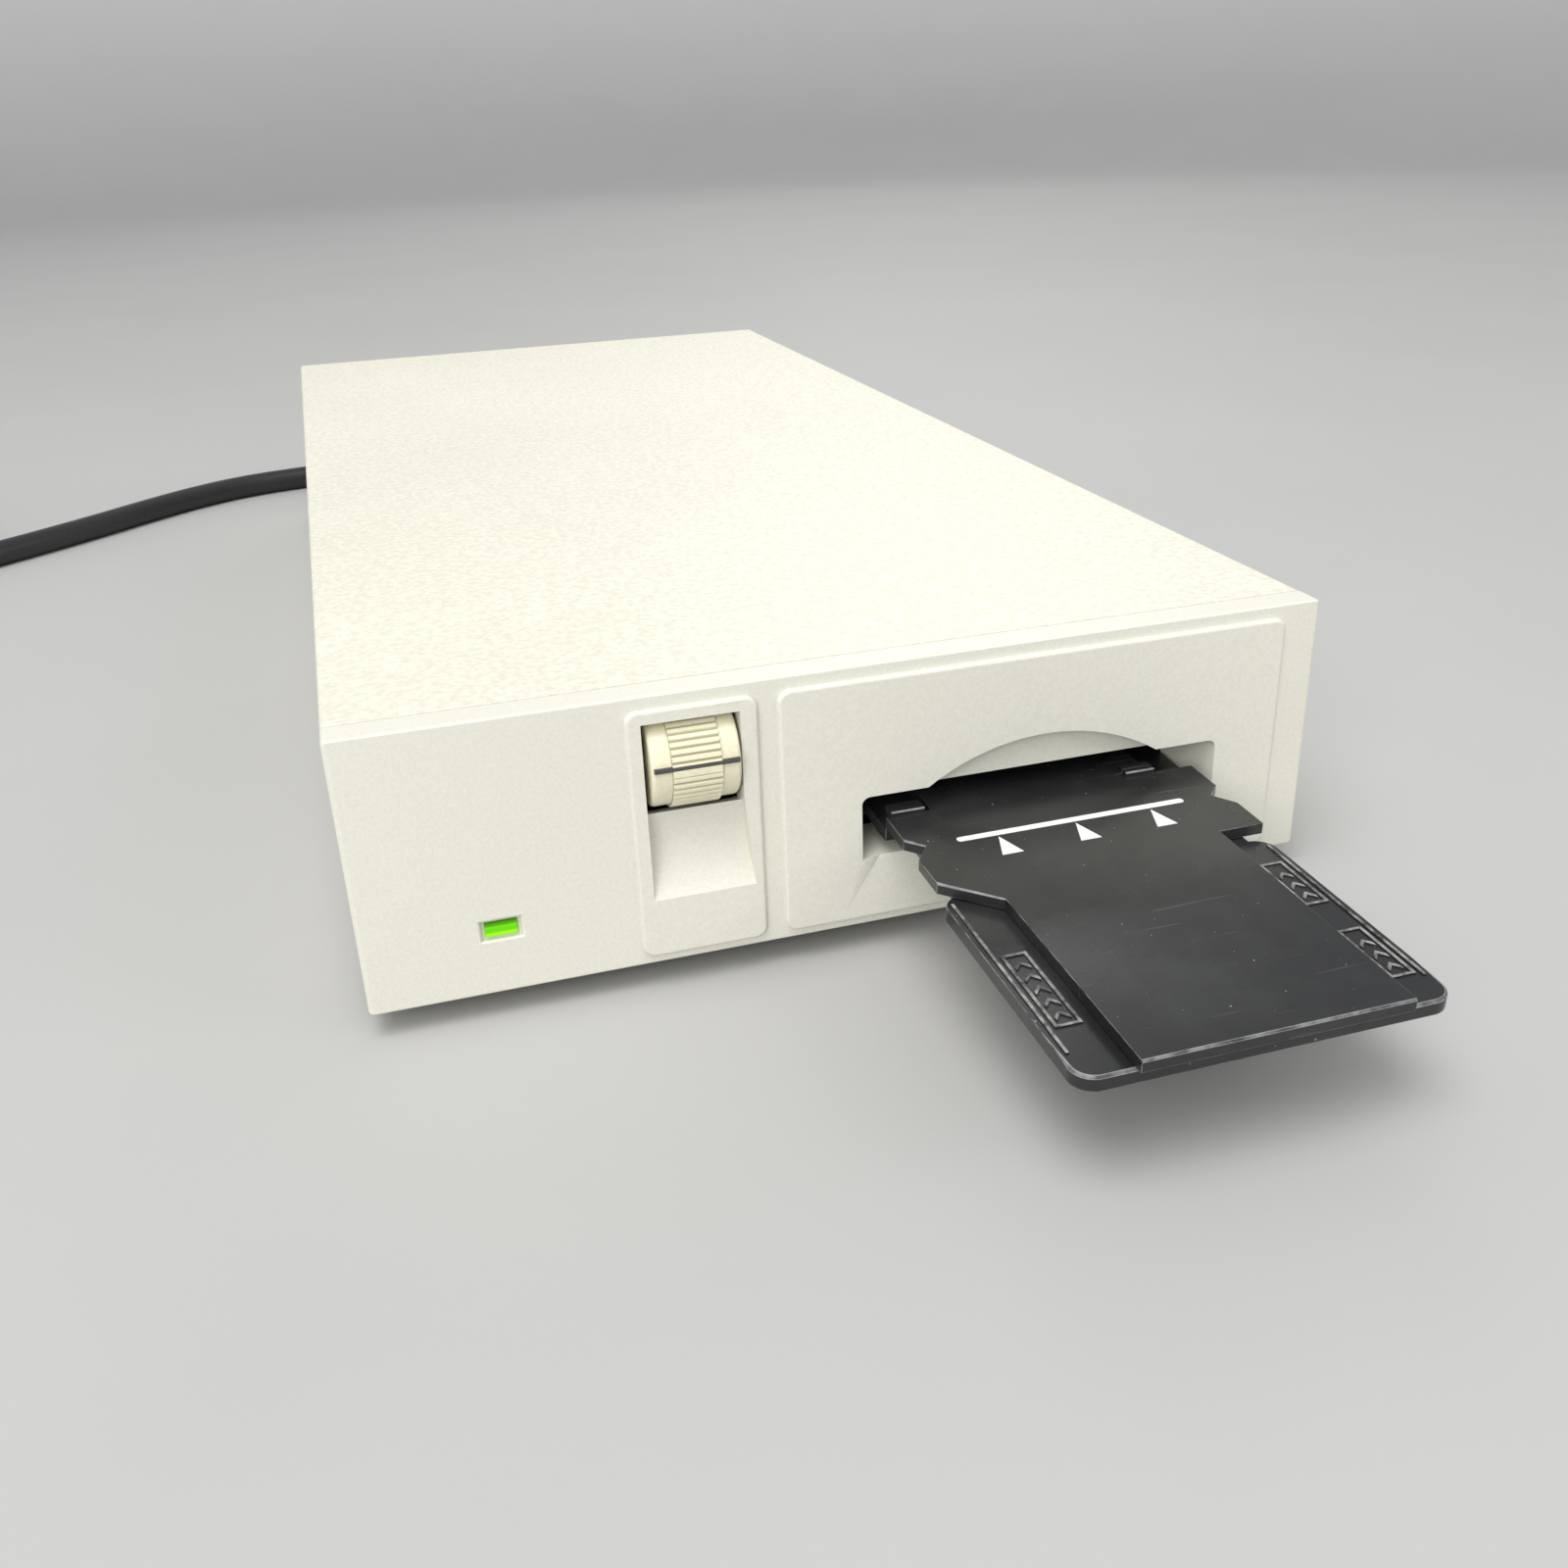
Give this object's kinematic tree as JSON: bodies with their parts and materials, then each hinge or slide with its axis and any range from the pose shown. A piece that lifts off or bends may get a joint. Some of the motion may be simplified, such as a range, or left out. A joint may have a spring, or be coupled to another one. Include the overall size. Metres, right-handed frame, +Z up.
{
  "type": "film negative scanner",
  "caption": "Low desktop box that scans film through a front slot, with a pull-out film holder, a focus wheel, a status light and a mains lead.",
  "frame": {"origin": "on the surface that the feet stand on, under the middle of the object with its holder drawn out and its lead left out", "axes": "+X to the right seen from the front, +Y to the back, +Z up"},
  "size_m": [0.363, 0.4723, 0.0453],
  "materials": {
    "cover_paint": "fine orange-peel cream paint on steel",
    "bezel_plastic": "satin moulded off-white plastic",
    "wheel_plastic": "yellowed satin plastic",
    "holder_plastic": "satin black with worn edges",
    "black_plastic": "matt black moulding",
    "natural_plastic": "natural acetal",
    "zinc_steel": "zinc-plated sheet",
    "bright_steel": "ground steel",
    "aluminium": "die-cast and machined",
    "brass": "turned",
    "rubber": "moulded rubber",
    "light_lens": "clear green plastic, lit",
    "board": "green solder mask",
    "chip": "moulded package",
    "coil_copper": "yellow tape over windings",
    "capacitor": "dark blue sleeve",
    "glass": "coated optical glass",
    "mirror": "front-silvered",
    "cable": "black flexible jacket with a soft gloss"
  },
  "bodies": {
    "case": {"front_bezel": "bezel_plastic", "throat_plate": "black_plastic", "top_cover": "cover_paint", "bottom_pan": "zinc_steel", "back_panel": "zinc_steel", "rubber_feet": "rubber", "case_screws": "bright_steel", "status_lens": "light_lens", "status_board": "board", "wheel_bracket": "black_plastic", "wheel_axle": "bright_steel", "idler_stud": "bright_steel", "screw_bush": "brass", "guide_rods": "bright_steel", "lens_rods": "bright_steel", "optical_base": "aluminium", "scan_motor": "zinc_steel", "lamp_bridge": "zinc_steel", "lamp_block": "black_plastic", "light_rod": "glass", "fold_mirror": "mirror", "sensor_board": "board", "line_sensor": "chip", "main_board": "board", "board_chips": "chip", "board_standoffs": "brass", "power_board": "board", "power_transformer": "coil_copper", "power_capacitors": "capacitor", "heat_sink": "aluminium", "fan_frame": "black_plastic", "mains_inlet": "black_plastic", "switch_body": "black_plastic", "data_ports": "zinc_steel", "jack_posts": "brass", "id_switch": "capacitor", "power_connector": "cable", "power_cord": "cable", "cord_coil": "cable", "power_plug": "cable"},
    "carriage": {"film_carriage": "black_plastic", "carriage_bushes": "brass", "drive_nut": "brass", "holder_springs": "brass"},
    "film_holder": {"holder_base": "holder_plastic", "holder_hinge_pin": "bright_steel"},
    "holder_lid": {"holder_cover": "holder_plastic"},
    "drive_screw": {"lead_screw": "bright_steel"},
    "wheel": {"focus_wheel": "wheel_plastic", "wheel_pinion": "natural_plastic"},
    "idler": {"idler_gear": "natural_plastic"},
    "lens_slide": {"focus_rod": "bright_steel", "lens_carriage": "aluminium", "lens_barrel": "black_plastic", "lens_glass": "glass"},
    "fan": {"fan_rotor": "black_plastic"},
    "rocker": {"power_rocker": "black_plastic"},
    "dial": {"id_dial": "natural_plastic"}
  },
  "joints": [
    {"name": "carriage_slide", "type": "slide", "parent": "case", "child": "carriage", "axis": [0, 1, 0], "range_m": [0, 0.038]},
    {"name": "screw_spin", "type": "hinge", "parent": "case", "child": "drive_screw", "pos_m": [-0.0148, 0, 0.0215], "axis": [0, 1, 0], "range_deg": [-20, 6860]},
    {"name": "holder_slide", "type": "slide", "parent": "carriage", "child": "film_holder", "axis": [0, 0.9991, 0.0419], "range_m": [-0.08, 0.0101]},
    {"name": "lid_hinge", "type": "hinge", "parent": "film_holder", "child": "holder_lid", "pos_m": [0.0277, -0.06251, 0.02371], "axis": [-1, 0, 0], "range_deg": [0, 2]},
    {"name": "wheel_turn", "type": "hinge", "parent": "case", "child": "wheel", "pos_m": [-0.0255, -0.12498, 0.0344], "axis": [1, 0, 0], "range_deg": [-60.5, 60.5]},
    {"name": "idler_turn", "type": "hinge", "parent": "case", "child": "idler", "pos_m": [-0.0172, -0.11698, 0.0344], "axis": [1, 0, 0], "range_deg": [-41, 41]},
    {"name": "lens_travel", "type": "slide", "parent": "case", "child": "lens_slide", "axis": [0, 1, 0], "range_m": [-0.00335, 0.00335]},
    {"name": "fan_spin", "type": "hinge", "parent": "case", "child": "fan", "pos_m": [0.008, 0.18, 0.0248], "axis": [0, 1, 0], "continuous": true},
    {"name": "rocker_tilt", "type": "hinge", "parent": "case", "child": "rocker", "pos_m": [0.0622, 0.18252, 0.025], "axis": [1, 0, 0], "range_deg": [-16, 0]},
    {"name": "dial_turn", "type": "hinge", "parent": "case", "child": "dial", "pos_m": [-0.0112, 0.185, 0.034], "axis": [0, 1, 0], "range_deg": [0, 315]}
  ],
  "couplings": [
    {"joint": "screw_spin", "follows": "carriage_slide", "rad_per_m": 3141.6},
    {"joint": "wheel_turn", "follows": "lens_travel", "rad_per_m": 312.5},
    {"joint": "idler_turn", "follows": "lens_travel", "rad_per_m": -208.33}
  ]
}
